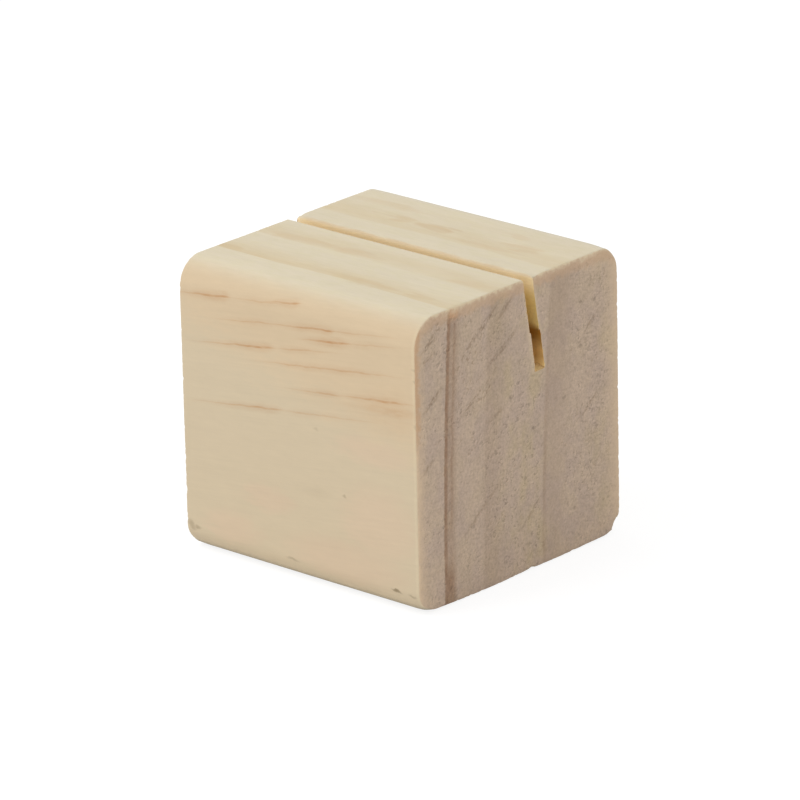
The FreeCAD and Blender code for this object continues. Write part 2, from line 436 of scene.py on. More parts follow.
def rim_gap(points):
    """How far each point lies inside the section's outline, in millimetres."""
    y, z = points[:, 1], points[:, 2]
    gap = np.minimum.reduce([HALF_WIDTH - y, HALF_WIDTH + y, z, HEIGHT - z])
    for side, level, radius in (
        (1, 0, BOTTOM_ROUND), (-1, 0, BOTTOM_ROUND),
        (1, HEIGHT, BACK_TOP_ROUND), (-1, HEIGHT, FRONT_TOP_ROUND),
    ):
        out = side * y - (HALF_WIDTH - radius)
        up = np.abs(z - level) - radius
        corner = (out > 0) & (up < 0)
        gap = np.where(corner, radius - np.hypot(out, up), gap)
    return np.maximum(gap, 0)


def face_facts(points, faces, slot):
    """How far each face looks along the grain, and whether it is a wall or the floor of the slot."""
    corners = np.array([face[:3] for face in faces])
    a, b, c = points[corners[:, 0]], points[corners[:, 1]], points[corners[:, 2]]
    normal = np.cross(b - a, c - a)
    facing = normal[:, 0] / np.maximum(np.linalg.norm(normal, axis=1), NO_LENGTH)
    in_slot = np.array([len(face) == 4 and min(slot[i] for i in face) for face in faces], float)
    return facing, in_slot


def set_attribute(mesh, name, values, domain="POINT"):
    """Stores a value for each point or face, for the material to read."""
    layer = mesh.attributes.new(name, "FLOAT", domain)
    layer.data.foreach_set("value", np.asarray(values, np.float32))


def make_block():
    """The worn block, with what its material needs to know of the sound one."""
    points, faces, slot = build_surface()
    ideal = points.copy()
    normals = point_normals(points, faces)
    points = wear(points, normals, slot)
    chip = cut_chip(points)
    points = keep_in_box(points)

    mesh = bpy.data.meshes.new("block_surface")
    mesh.from_pydata((points * MM).tolist(), [], faces)
    mesh.validate()
    mesh.shade_smooth()
    mesh.set_sharp_from_angle(angle=SHARP_ANGLE)
    facing, in_slot = face_facts(ideal, faces, slot)
    end_grain = smooth(np.abs(facing), 0.35, 0.75)
    set_attribute(mesh, "end_grain", end_grain * (1 - in_slot), "FACE")
    set_attribute(mesh, "in_slot", in_slot, "FACE")
    set_attribute(mesh, "slot_depth", HEIGHT - ideal[:, 2])
    set_attribute(mesh, "rim_gap", rim_gap(ideal))
    set_attribute(mesh, "chip", chip.astype(float))
    block = bpy.data.objects.new("block", mesh)
    bpy.context.scene.collection.objects.link(block)
    return block


# Materials

def rgb(red, green, blue):
    """A colour as a picture shows it, 0 to 255, turned into the light that Blender adds up."""
    def linear(value):
        value /= 255
        return value / 12.92 if value <= 0.04045 else ((value + 0.055) / 1.055) ** 2.4
    return (linear(red), linear(green), linear(blue), 1.0)


class Field:
    """A value at each point of a surface, so that a pattern reads like arithmetic."""

    def __init__(self, tree, socket):
        self.tree = tree
        self.socket = socket

    def feed(self, socket, value):
        if isinstance(value, Field):
            self.tree.links.new(value.socket, socket)
        else:
            socket.default_value = value

    def math(self, operation, *values):
        node = self.tree.nodes.new("ShaderNodeMath")
        node.operation = operation
        for socket, value in zip(node.inputs, values):
            self.feed(socket, value)
        return Field(self.tree, node.outputs[0])

    def __add__(self, other):
        return self.math("ADD", self, other)

    def __sub__(self, other):
        return self.math("SUBTRACT", self, other)

    def __rsub__(self, other):
        return self.math("SUBTRACT", other, self)

    def __mul__(self, other):
        return self.math("MULTIPLY", self, other)

    def __truediv__(self, other):
        return self.math("DIVIDE", self, other)

    __radd__ = __add__
    __rmul__ = __mul__

    def times_plus(self, factor, addend):
        return self.math("MULTIPLY_ADD", self, factor, addend)

    def power(self, exponent):
        return self.math("POWER", self, exponent)

    def size(self):
        return self.math("ABSOLUTE", self)

    def most(self, other):
        return self.math("MAXIMUM", self, other)

    def least(self, other):
        return self.math("MINIMUM", self, other)

    def ramp(self, low, high, start, end, kind="SMOOTHSTEP"):
        node = self.tree.nodes.new("ShaderNodeMapRange")
        node.interpolation_type = kind
        for name, value in (
            ("Value", self), ("From Min", low), ("From Max", high), ("To Min", start), ("To Max", end),
        ):
            self.feed(node.inputs[name], value)
        return Field(self.tree, node.outputs[0])

    def rise(self, low, high):
        """0 below low, 1 above high."""
        return self.ramp(low, high, 0.0, 1.0)

    def fall(self, low, high):
        """1 below low, 0 above high."""
        return self.ramp(low, high, 1.0, 0.0)


def strongest(fields):
    """The largest of several values at each point."""
    return functools.reduce(Field.most, fields)


class Wood:
    """The material's node tree, with helpers that add one pattern each."""

    def __init__(self, name):
        self.material = bpy.data.materials.new(name)
        self.material.use_nodes = True
        self.tree = self.material.node_tree
        self.tree.nodes.clear()
        self.place = self.tree.nodes.new("ShaderNodeTexCoord").outputs["Object"]
        scale = self.tree.nodes.new("ShaderNodeVectorMath")
        scale.operation = "SCALE"
        scale.inputs["Scale"].default_value = 1 / MM
        self.tree.links.new(self.place, scale.inputs[0])
        split = self.tree.nodes.new("ShaderNodeSeparateXYZ")
        self.tree.links.new(scale.outputs[0], split.inputs[0])
        self.x, self.y, self.z = (Field(self.tree, split.outputs[axis]) for axis in "XYZ")

    def attribute(self, name):
        node = self.tree.nodes.new("ShaderNodeAttribute")
        node.attribute_name = name
        return Field(self.tree, node.outputs["Fac"])

    def noise(self, per_mm, detail=2.0, roughness=0.5, seed=0, turn=(0, 0, 0), shift=(0, 0, 0)):
        """Soft noise about 0, from -0.5 to 0.5, with so many waves per millimetre along each axis."""
        place = self.tree.nodes.new("ShaderNodeMapping")
        place.vector_type = "TEXTURE"
        place.inputs["Scale"].default_value = [MM / waves for waves in per_mm]
        place.inputs["Rotation"].default_value = turn
        place.inputs["Location"].default_value = [
            MM * (step - NODE_SEED_STEP * seed / waves) for step, waves in zip(shift, per_mm)
        ]
        self.tree.links.new(self.place, place.inputs["Vector"])
        node = self.tree.nodes.new("ShaderNodeTexNoise")
        node.inputs["Scale"].default_value = 1.0
        node.inputs["Detail"].default_value = detail
        node.inputs["Roughness"].default_value = roughness
        self.tree.links.new(place.outputs[0], node.inputs["Vector"])
        return Field(self.tree, node.outputs[0]) - 0.5

    def mix(self, amount, first, second):
        """From the first colour to the second: sockets 0, 6 and 7 are the amount and the colours."""
        node = self.tree.nodes.new("ShaderNodeMix")
        node.data_type = "RGBA"
        for socket, value in ((node.inputs[0], amount), (node.inputs[6], first), (node.inputs[7], second)):
            amount.feed(socket, value)
        return Field(self.tree, node.outputs[2])

    def shade(self, colour, factor):
        """Makes a colour lighter or darker by a factor about 1."""
        node = self.tree.nodes.new("ShaderNodeHueSaturation")
        factor.feed(node.inputs["Color"], colour)
        factor.feed(node.inputs["Value"], factor)
        return Field(self.tree, node.outputs[0])

    def lens(self, along, across, start, end, width, peak):
        """How far each place lies outside a thin mark between two places, in its own half widths,
        and how strong the mark is along its length: most at its peak share."""
        (x0, z0), (x1, z1) = start, end
        share = along.times_plus(1 / (x1 - x0), -x0 / (x1 - x0))
        strength = share.rise(0.0, peak) * share.fall(peak, 1.0)
        gap = (across - share.times_plus(z1 - z0, z0)).size()
        half_width = strength.times_plus(width * 0.7, width * 0.3)
        return gap / half_width, strength

    def streak(self, along, across, start, end, width, peak, share):
        """A thin mark between two places, as strong as share at its peak."""
        gap, strength = self.lens(along, across, start, end, width, peak)
        return gap.fall(0.2, 1.0) * (strength * share)

    def oval(self, along, across, centre, radii):
        """A soft oval: 1 in its middle, 0 from its rim on."""
        u = along.times_plus(1 / radii[0], -centre[0] / radii[0])
        v = across.times_plus(1 / radii[1], -centre[1] / radii[1])
        return v.times_plus(v, u * u).fall(0.1, 1.0)


# The growth rings lie this much further forward at the foot than at the top, and this much closer
RING_BOW = 3.0
RING_CLOSING = 0.056
# Growth rings as (edge, sharpness of the edge, how far the dark wood holds, how far it fades,
# strength on the long grain, strength on the sawn ends), in millimetres
RINGS = (
    (-16.2, 0.35, 0.4, 6.8, 0.55, 0.10),
    (-6.3, 1.3, 1.5, 7.0, 0.42, 0.30),
    (9.0, 0.9, 2.6, 8.0, 0.38, 0.36),
    (16.0, 2.5, 1.5, 4.0, 0.12, 0.00),
    (26.0, 0.12, 0.1, 1.2, 0.50, 0.00),
    (27.4, 0.10, 0.1, 0.9, 0.55, 0.00),
    (28.5, 0.08, 0.0, 0.6, 0.55, 0.00),
)

# Darker patches on the top as (x, y, half length, half width, strength)
TOP_PATCHES = (
    (-23.0, -15.2, 4.5, 1.6, 0.45), (8.0, -15.0, 5.5, 1.7, 0.55), (18.0, -14.9, 3.5, 1.4, 0.40),
    (-16.0, -5.2, 9.0, 1.6, 0.50), (-5.0, -4.6, 7.0, 1.5, 0.55), (20.0, -5.2, 6.0, 1.5, 0.35),
    (-2.5, 12.4, 5.0, 2.0, 0.75), (-10.5, 12.8, 4.0, 1.8, 0.50), (15.0, 13.2, 4.5, 2.0, 0.50),
    (10.0, 10.6, 9.0, 0.8, 0.35), (-17.0, 17.2, 9.0, 1.6, 0.35), (11.0, 17.6, 4.0, 1.5, 0.30),
)

# Streaks on the front face as (start, end, width, peak share, strength), x and z in millimetres
FRONT_STREAKS = (
    ((-31, 43.7), (-13.2, 45.9), 0.34, 0.86, 1.0),
    ((-16, 45.6), (4, 47.6), 0.25, 0.4, 0.4),
    ((-9, 46.4), (1.4, 47.7), 0.26, 0.8, 0.85),
    ((-21, 41.0), (0, 44.0), 0.26, 0.6, 0.5),
    ((-12, 42.5), (9.6, 45.0), 0.30, 0.88, 0.95),
    ((6, 44.5), (27, 47.2), 0.25, 0.2, 0.4),
    ((-2, 41.6), (14.5, 43.7), 0.36, 0.65, 1.0),
    ((9, 43.0), (27, 45.8), 0.28, 0.25, 0.4),
    ((-28, 35.9), (-3.2, 39.4), 0.32, 0.86, 0.95),
    ((-6, 39.0), (12, 41.8), 0.28, 0.3, 0.5),
    ((-14, 35.5), (12, 38.8), 0.26, 0.7, 0.6),
    ((-2, 37.1), (27, 40.7), 0.30, 0.4, 0.65),
    ((-6, 32.5), (12, 34.5), 0.28, 0.7, 0.6),
    ((5, 33.9), (27, 36.2), 0.36, 0.66, 1.0),
    ((6, 32.8), (28, 34.6), 1.6, 0.7, 0.35),
    ((-29, 25.5), (-1, 29.3), 0.30, 0.82, 0.75),
    ((-6, 28.6), (27, 32.5), 0.28, 0.2, 0.4),
)
# Small stains, dents and splinters on the front face, in the same terms
FRONT_MARKS = (
    ((-25.8, 5.2), (-22.6, 3.6), 1.1, 0.5, 0.40),
    ((-24.2, 4.3), (-21.6, 4.2), 0.6, 0.5, 0.45),
    ((18.8, 3.8), (22.0, 3.4), 0.45, 0.5, 0.9),
    ((22.4, 3.6), (25.2, 3.2), 0.35, 0.5, 0.45),
    ((-4.0, 3.8), (0.2, 3.5), 0.40, 0.5, 0.4),
    ((9.0, 17.3), (10.4, 17.1), 0.45, 0.5, 0.4),
    ((-1.0, 15.8), (9.0, 16.9), 1.4, 0.5, 0.06),
    ((3.0, 27.4), (4.8, 27.3), 0.40, 0.5, 0.2),
    ((24.2, 42.1), (25.8, 41.8), 0.40, 0.7, 0.35),
    ((24.4, 40.3), (25.8, 39.9), 0.40, 0.7, 0.40),
    ((24.5, 32.5), (25.6, 32.2), 0.50, 0.6, 0.30),
)
# Pinker patches on the front face as (x, z, half length, half height)
PINK_PATCHES = ((17, 14, 10, 8), (-15, 6, 8, 3.5), (10, 6, 16, 4.5), (16, 26, 10, 3), (-7, 13, 7, 3))

# Where the marks of the right end fade out along the block, so that the left end lacks them
RIGHT_END_FADE = (20.0, 24.0)
# Rows of dark dashes that the coarse saw left on the right end, in the terms of the streaks,
# with y and z in millimetres
SAW_ROWS = (
    ((-25.0, 43.0), (-17.0, 49.0), 0.8, 0.5, 1.0),
    ((-25.6, 41.5), (-18.6, 44.7), 0.8, 0.5, 0.4),
    ((-25.0, 32.8), (-17.6, 38.2), 0.8, 0.6, 0.7),
    ((-25.0, 23.1), (-20.0, 26.6), 0.8, 0.5, 0.7),
    ((-15.8, 39.7), (-2.6, 49.3), 0.8, 0.5, 1.0),
    ((-7.0, 43.6), (1.0, 49.6), 1.2, 0.5, 0.6),
    ((-11.4, 35.4), (1.4, 43.2), 0.8, 0.6, 1.0),
    ((-15.8, 30.0), (-8.0, 35.2), 0.7, 0.5, 1.0),
    ((-8.8, 27.9), (-2.4, 30.7), 0.7, 0.5, 0.6),
    ((-17.0, 8.7), (-2.0, 19.7), 0.8, 0.45, 0.6),
    ((13.2, 21.3), (21.8, 27.8), 0.5, 0.5, 0.6),
    ((15.0, 36.0), (21.0, 41.0), 0.8, 0.5, 0.7),
    ((-1.4, 6.7), (7.0, 13.8), 0.7, 0.5, 0.5),
)
# Single dark pits on the right end, as (y, z)
END_PITS = (
    (-18.8, 40.5), (-9.5, 25.5), (-11.8, 11.8), (-4.0, 3.3), (3.5, 24.3), (11.0, 27.3),
    (15.2, 35.0), (15.5, 42.5), (19.0, 42.0), (13.5, 7.5),
)

# Colours: the long grain, with the early and the late wood of each growth ring
LONG_EARLY = rgb(219, 207, 182)
LONG_LATE = rgb(209, 188, 149)
LONG_YELLOW = rgb(215, 204, 168)
# A painted sheen on the back's rounded top edge
FAR_EDGE_SHEEN = rgb(219, 213, 199)
TOP_TAN = rgb(206, 181, 143)
FRONT_WARM = rgb(211, 189, 157)
FRONT_PALE = rgb(208, 191, 162)
FRONT_PINK = rgb(215, 188, 161)
STREAK = rgb(186, 138, 92)
STAIN = rgb(116, 98, 68)
# The sawn ends and their rim
END_EARLY = rgb(196, 174, 153)
END_LATE = rgb(163, 140, 119)
END_LINE = rgb(150, 118, 92)
END_RESIN = rgb(206, 156, 112)
END_YELLOW = rgb(190, 171, 135)
END_MAUVE = rgb(187, 166, 151)
END_DASH = rgb(146, 122, 98)
END_FUZZ = rgb(212, 190, 161)
RIM_WARM = rgb(220, 194, 162)
RIM_ORANGE = rgb(196, 154, 116)
# A painted highlight along the eased arris, with pale fibres on the top rim
RIM_FIBRES_AND_HIGHLIGHT = rgb(228, 212, 178)
# The slot, from its lip down: colours kept bright down to the floor as painted light against the slot's
# shade, paler painted light on the wall inside than at the right end, and a dark band where the first pass
# ended
KERF_LIP = rgb(212, 188, 152)
KERF_INSIDE_PAINTED_LIGHT = rgb(246, 226, 186)
KERF_TOP = rgb(232, 208, 163)
KERF_MIDDLE = rgb(226, 196, 126)
KERF_DARK_BAND = rgb(166, 114, 42)
KERF_FOOT = rgb(219, 177, 110)
KERF_DEEP_PAINTED_LIGHT = rgb(246, 214, 150)
KERF_FLOOR = rgb(228, 198, 142)
# Painted contact shadow where the block stands on the floor, and the torn wood of the chip
PAINTED_CONTACT_SHADOW = rgb(150, 138, 120)
CHIP_COLOUR = rgb(199, 176, 143)

# How patterns are turned: the grain rises to the right on the front face, and each single dash
# is a little steeper than the row that it stands in
GRAIN_SLOPE = 0.12
GRAIN_TILT = (0, -GRAIN_SLOPE, 0)
DASH_TURN = math.radians(14)
ALONG_SAW_MARKS = (SAW_MARK_ANGLE, 0, 0)
ALONG_DASHES = (SAW_MARK_ANGLE + DASH_TURN, 0, 0)
ALONG_RAYS = (RAY_ANGLE, 0, 0)

# Gloss, and how far fibres and grit stand out in the bump, in millimetres
SPECULAR = 0.25
ROUGHNESS = 0.72
ROUGHNESS_SPREAD = 0.1
FIBRE_RELIEF = 0.02
GRIT_RELIEF = 0.1


def ring_pattern(wood, end_grain):
    """The place across the growth rings, and how dark they make the long grain and the ends."""
    x, y, z = wood.x, wood.y, wood.z
    height_share = z / HEIGHT
    bow = 1.0 - height_share * height_share
    drift = wood.noise((0.035, 0.05, 0.05), 1.0, 0.5, 1) * 1.4 * x.fall(8.0, 24.0)
    ring = y + (y * RING_CLOSING + RING_BOW) * bow + x.rise(10.0, 25.5) * 0.6 + drift
    ripple = wood.noise((0.12, 0.6, 0.6), 2.0, 0.5, 2) * (0.8 - y.rise(20.0, 24.0) * 0.65)
    ring = ring + ripple * (1.0 - end_grain * 0.8)
    on_long = 0.0
    on_end = 0.0
    for edge, sharp, hold, fade, long_share, end_share in RINGS:
        band = ring.rise(edge - sharp / 2, edge + sharp / 2) * ring.fall(edge + hold, edge + fade)
        on_long = band.times_plus(long_share, on_long)
        on_end = band.times_plus(end_share, on_end)
    return ring, on_long, on_end


def top_patches(wood, mottle):
    """Mottled tan patches on the top, where the growth rings run out through it."""
    wander = wood.noise((0.10, 0.45, 0.45), 3.0, 0.6, 29)
    along = wander.times_plus(16.0, wood.x)
    level = (mottle + wander).times_plus(1.8, wood.y)
    patches = strongest(
        wood.oval(along, level, (x, y), (half_length, half_width)) * strength
        for x, y, half_length, half_width, strength in TOP_PATCHES
    )
    return patches * wood.z.rise(45.0, 48.0) * mottle.times_plus(1.8, 0.75)


def front_streaks(wood):
    """Thin resin streaks on the front face, each with a soft halo."""
    level = wood.noise((0.3, 0.2, 0.2), 2.0, 0.5, 4).times_plus(0.5, wood.z)

    def layer(start, end, width, peak, strength):
        gap, share = wood.lens(wood.x, level, start, end, width, peak)
        return gap.fall(0.2, 1.0).most(gap.fall(0.8, 4.0) * 0.32) * (share * strength)

    broken = wood.noise((0.5, 2.0, 2.0), 2.0, 0.5, 9, turn=GRAIN_TILT)
    return strongest(layer(*streak) for streak in FRONT_STREAKS) * (broken * 1.4 + 0.85)


def front_colour(wood, mottle):
    """Warmer wood above and to the right, paler below, with soft pink patches."""
    slope_z = wood.x.times_plus(0.25, wood.z)
    warm = mottle.times_plus(10.0, slope_z).rise(28.0, 40.0)
    along, level = mottle.times_plus(8.0, wood.x), mottle.times_plus(3.0, wood.z)
    pink = strongest(
        wood.oval(along, level, (x, z), (half_length, half_height))
        for x, z, half_length, half_height in PINK_PATCHES
    )
    return wood.mix(pink * 0.42, wood.mix(warm, FRONT_PALE, FRONT_WARM), FRONT_PINK)


def front_marks(wood):
    """Stains and dents on the front face, with wavy edges."""
    level = wood.noise((1.0, 1.0, 1.0), 2.0, 0.6, 21).times_plus(0.8, wood.z)
    return strongest(wood.streak(wood.x, level, *mark) for mark in FRONT_MARKS)


def long_grain(wood, on_long, end_grain, slot_gap):
    """Planed wood along the grain: the top, the front, the back and the underside."""
    x, y, z = wood.x, wood.y, wood.z
    mottle = wood.noise((0.22, 0.8, 0.8), 3.0, 0.65, 20)
    uneven = wood.noise((0.07, 0.30, 0.30), 2.0, 0.6, 3) * 2.2 + 0.95
    yellow = wood.noise((0.35, 1.0, 1.0), 3.0, 0.65, 28).rise(-0.12, 0.18)
    colour = wood.mix(yellow * 0.35, LONG_EARLY, LONG_YELLOW)
    colour = wood.mix((on_long * uneven).least(1.0), colour, LONG_LATE)
    colour = wood.mix(top_patches(wood, mottle), colour, TOP_TAN)
    # Painted sheen: a paler grey strip along the back's rounded top edge
    far_edge_sheen = y.rise(20.4, 22.4) * y.fall(23.5, 24.8) * z.rise(46.0, 48.5)
    colour = wood.mix(far_edge_sheen * 0.3, colour, FAR_EDGE_SHEEN)
    back_lip = y.rise(2.3, 3.0) * x.rise(-25.4, -22.0)
    lip = mottle.times_plus(2.0, slot_gap).fall(0.0, 0.9) * back_lip
    colour = wood.mix(lip * 0.8, colour, KERF_LIP)
    colour = wood.mix(y.fall(-24.6, -21.0), colour, front_colour(wood, mottle))

    on_front = y.fall(-24.2, -22.5) * (1.0 - end_grain)
    colour = wood.mix(front_streaks(wood) * on_front * 0.85, colour, STREAK)
    colour = wood.mix(front_marks(wood) * on_front * 0.8, colour, STAIN)
    # Painted highlight along the eased arris at the front of the right end
    edge_highlight = mottle.times_plus(0.8, x).rise(24.5, 24.9) * on_front
    colour = wood.mix(edge_highlight * 0.2, colour, RIM_FIBRES_AND_HIGHLIGHT)
    # Painted contact shadow: greyer low on the front and back faces, where the block meets the floor
    foot = mottle.times_plus(1.0, z).fall(0.7, 2.0) * y.size().rise(20.8, 22.0)
    colour = wood.mix(foot * 0.5, colour, PAINTED_CONTACT_SHADOW)

    fibre = wood.noise((0.06, 2.4, 2.4), 3.0, 0.6, 5, turn=GRAIN_TILT)
    cloud = wood.noise((0.05, 0.22, 0.22), 2.0, 0.5, 6, turn=GRAIN_TILT)
    shade = fibre * (z.rise(46.0, 49.0) * 0.03 + 0.07) + mottle * 0.08 + cloud * 0.07 + 1.0
    return wood.shade(colour, shade), fibre


def saw_dashes(wood):
    """Dark dashes in rows and a paler lip below each: those of the photograph and fainter ones."""
    wander = wood.noise((0.1, 0.3, 0.3), 1.0, 0.5, 18) * 0.6
    level = wood.noise((0.1, 1.6, 1.6), 2.0, 0.6, 22).times_plus(0.7, wood.z + wander)
    rows = strongest(wood.streak(wood.y, level, *row) for row in SAW_ROWS)
    rows = (rows * 1.6).least(1.0) * wood.x.rise(*RIGHT_END_FADE)
    faint = wood.noise((0.1, 0.08, 0.42), 1.0, 0.5, 14, turn=ALONG_SAW_MARKS).rise(0.0, 0.18)
    upper_front = wood.y.fall(0.0, 6.0) * wood.z.rise(20.0, 30.0)
    faint = faint * (upper_front * 0.4 + wood.x.fall(-20.0, 0.0) * 0.5 + 0.7)
    dots = wood.noise((0.1, 1.2, 2.2), 2.0, 0.6, 13, turn=ALONG_DASHES)
    lips = wood.noise((0.1, 1.2, 2.2), 2.0, 0.6, 13, turn=ALONG_DASHES, shift=(0, 0.12, -0.24))
    dark = rows * dots.rise(-0.14, 0.10) + faint * dots.rise(0.04, 0.20)
    pale = rows * lips.rise(-0.06, 0.12) + faint * lips.rise(0.04, 0.20)
    return dark, pale * (1.0 - dark.least(1.0)), rows


def growth_strip(wood, ring):
    """The dark growth ring near the front of the sawn ends: a thin line, then a mottled strip
    with a fainter line at its far side. A last thin line lies behind the slot."""
    z = wood.z
    mottle = wood.noise((0.1, 1.1, 0.5), 3.0, 0.6, 23)
    ragged = mottle.times_plus(0.5, ring)
    line = ragged.rise(-16.6, -16.2) * ragged.fall(-15.9, -15.1)
    strip = ragged.rise(-16.5, -16.1) * ragged.fall(-14.6, -12.8)
    second = ragged.rise(-15.2, -14.6) * ragged.fall(-14.5, -13.6) * z.rise(8.0, 16.0)
    last = ragged.rise(9.0, 9.4) * ragged.fall(9.5, 10.4) * z.fall(32.0, 40.0)
    share = strip * (z.fall(4.0, 9.0) * 0.42 + mottle * 0.5 + 0.34)
    share = share.most(line * (mottle * 0.8 + 0.80)).most(second * (mottle * 0.7 + 0.50))
    return share.most(last * (mottle * 0.6 + 0.17))


def end_tints(wood, ring, on_end, zone):
    """The colour of the end grain before the saw's marks: rings, and yellower and greyer clouds."""
    yellow = wood.noise((0.1, 0.24, 0.17), 2.0, 0.5, 11).rise(-0.16, 0.16) * (zone * 0.4 + 0.15)
    mauve = wood.noise((0.1, 0.26, 0.18), 2.0, 0.5, 12).rise(-0.10, 0.16)
    colour = wood.mix(yellow, END_EARLY, END_YELLOW)
    colour = wood.mix(mauve * 0.55, colour, END_MAUVE)
    late = on_end * (1.0 - ring.rise(6.0, 8.0) * wood.z.fall(24.0, 40.0) * 0.4)
    colour = wood.mix(late.least(1.0), colour, END_LATE)
    colour = wood.mix(growth_strip(wood, ring), colour, END_LINE)
    level = wood.noise((0.1, 0.9, 0.9), 2.0, 0.6, 24).times_plus(2.0, wood.z)
    resin = wood.oval(wood.y, level, (-15.7, 49.7), (1.7, 2.2)) * wood.x.rise(*RIGHT_END_FADE)
    return wood.mix(resin * 0.75, colour, END_RESIN)


def end_pits(wood, grit):
    """The few largest pits on the right end."""
    along, level = grit.times_plus(0.6, wood.y), grit.times_plus(0.6, wood.z)
    pits = strongest(wood.oval(along, level, spot, (0.62, 0.42)) for spot in END_PITS)
    return pits * wood.x.rise(*RIGHT_END_FADE)


def end_pores(wood, zone, calm):
    """Where pits crowd together, the pits, and the pale tip of wood above each."""
    y, z = wood.y, wood.z
    cluster = wood.noise((0.1, 0.16, 0.16), 2.0, 0.5, 25)
    busy = cluster + zone * z.fall(24.0, 34.0) * 0.14 + y.rise(12.0, 19.0) * 0.10
    busy = busy.rise(-0.05, 0.15) * (1.0 - calm * 0.8) * 0.8 + 0.2
    pits = wood.noise((0.1, 1.7, 1.7), 1.5, 0.6, 7).rise(0.05, 0.18) * busy
    above = wood.noise((0.1, 1.7, 1.7), 1.5, 0.6, 7, shift=(0, 0.16, -0.16))
    tips = above.rise(0.05, 0.18) * busy - pits
    return cluster, pits, tips


def sawn_end(wood, ring, on_end, slot_gap):
    """End grain: dashes left by the saw, fine rays, pits and grit over the growth rings."""
    y = wood.y
    zone = y.rise(-10.0, 0.0) * y.fall(4.0, 9.0)
    colour = end_tints(wood, ring, on_end, zone + y.rise(16.0, 20.0) * 0.7)
    grit = wood.noise((0.3, 2.0, 2.0), 2.0, 0.7, 26)
    coarse = wood.noise((0.3, 0.7, 0.7), 2.0, 0.5, 8)
    fuzz = (coarse + grit).times_plus(1.6, slot_gap).fall(0.1, 0.9)
    colour = wood.mix(fuzz * 0.75, colour, END_FUZZ)
    dark, pale, rows = saw_dashes(wood)
    colour = wood.mix(dark.least(1.0) * 0.48, colour, END_DASH)

    calm = ring.rise(7.5, 9.5) * ring.fall(13.0, 16.0)
    cluster, pits, tips = end_pores(wood, zone, calm)
    rays = wood.noise((0.1, 0.6, 2.6), 2.0, 0.6, 15, turn=ALONG_RAYS)
    lift = grit * (0.62 - calm * 0.2) + rays * (y.rise(8.0, 20.0) * 0.24 + 0.14) + coarse * 0.20 + 1.0
    lift = lift - pits * 0.23 + tips.most(0.0) * 0.11 + pale * 0.11 - rows * 0.07
    lift = cluster.times_plus(0.08, lift) - end_pits(wood, grit) * 0.22
    return wood.shade(colour, lift), grit


def rim_tints(wood, colour, rim_gap):
    """The end grain turns paler and warmer towards the rim, widest at the back, with a painted highlight
    and pale fibres along the top arris.
    """
    y, z = wood.y, wood.z
    ragged = wood.noise((0.3, 0.9, 0.9), 3.0, 0.6, 16) * (2.4 - y.rise(16.0, 22.0) * 1.4) + rim_gap
    reach = y.ramp(14.0, 20.0, 2.6, 4.8)
    rim = ragged.ramp(-0.2, reach, 1.0, 0.0, "LINEAR").power(1.4) * z.rise(0.3, 4.0)
    colour = wood.mix(rim, colour, RIM_WARM)
    beside = ragged.fall(0.2, 1.5) * y.fall(-23.8, -22.6) * z.rise(26.0, 33.0) * z.fall(47.5, 49.5)
    below_top = ragged.rise(0.2, 0.9) * ragged.fall(1.4, 2.6) * z.rise(46.5, 48.0)
    colour = wood.mix((beside * 0.6).most(below_top * 0.28), colour, RIM_ORANGE)
    # Painted highlight along the top arris, among pale fibres
    return wood.mix(ragged.fall(-0.1, 0.5) * z.rise(48.6, 49.6) * 0.6, colour, RIM_FIBRES_AND_HIGHLIGHT)


def slot_gap_field(wood):
    """How far each place on the top or on an end lies from the slot, in millimetres."""
    slope = math.tan(SLOT_LEAN)
    across = wood.z.times_plus(slope, wood.y) - (SLOT_OFFSET + HEIGHT * slope)
    below = (HEIGHT - SLOT_DEPTH) - wood.z
    return (across.size() - SLOT_WIDTH / 2 / math.cos(SLOT_LEAN)).most(below)


def kerf_colour(wood, slot_depth):
    """The slot's walls: colours kept bright down to the floor as painted light against the slot's shade,
    with a dark band where the first pass of the saw ended.
    """
    ragged_depth = wood.noise((0.25, 0.4, 0.9), 2.0, 0.5, 17).times_plus(1.2, slot_depth)
    # Painted light: the wall inside is paler than at the right end
    kerf = wood.mix(wood.x.rise(21.0, 24.5), KERF_INSIDE_PAINTED_LIGHT, KERF_TOP)
    kerf = wood.mix(slot_depth.rise(0.8, 5.0), kerf, KERF_MIDDLE)
    kerf = wood.mix(slot_depth.rise(9.8, 12.5), kerf, KERF_FOOT)
    kerf = wood.mix(ragged_depth.rise(8.2, 9.9) * ragged_depth.fall(10.4, 13.4), kerf, KERF_DARK_BAND)
    # Painted light: brightest near the floor, against the deepest shade
    kerf = wood.mix(slot_depth.rise(14.2, 15.6), kerf, KERF_DEEP_PAINTED_LIGHT)
    kerf = wood.mix(slot_depth.rise(15.5, 15.7), kerf, KERF_FLOOR)
    saw_lines = wood.noise((0.9, 0.9, 3.2), 2.0, 0.6, 27)
    return wood.shade(kerf, saw_lines * 0.22 + 1.0)


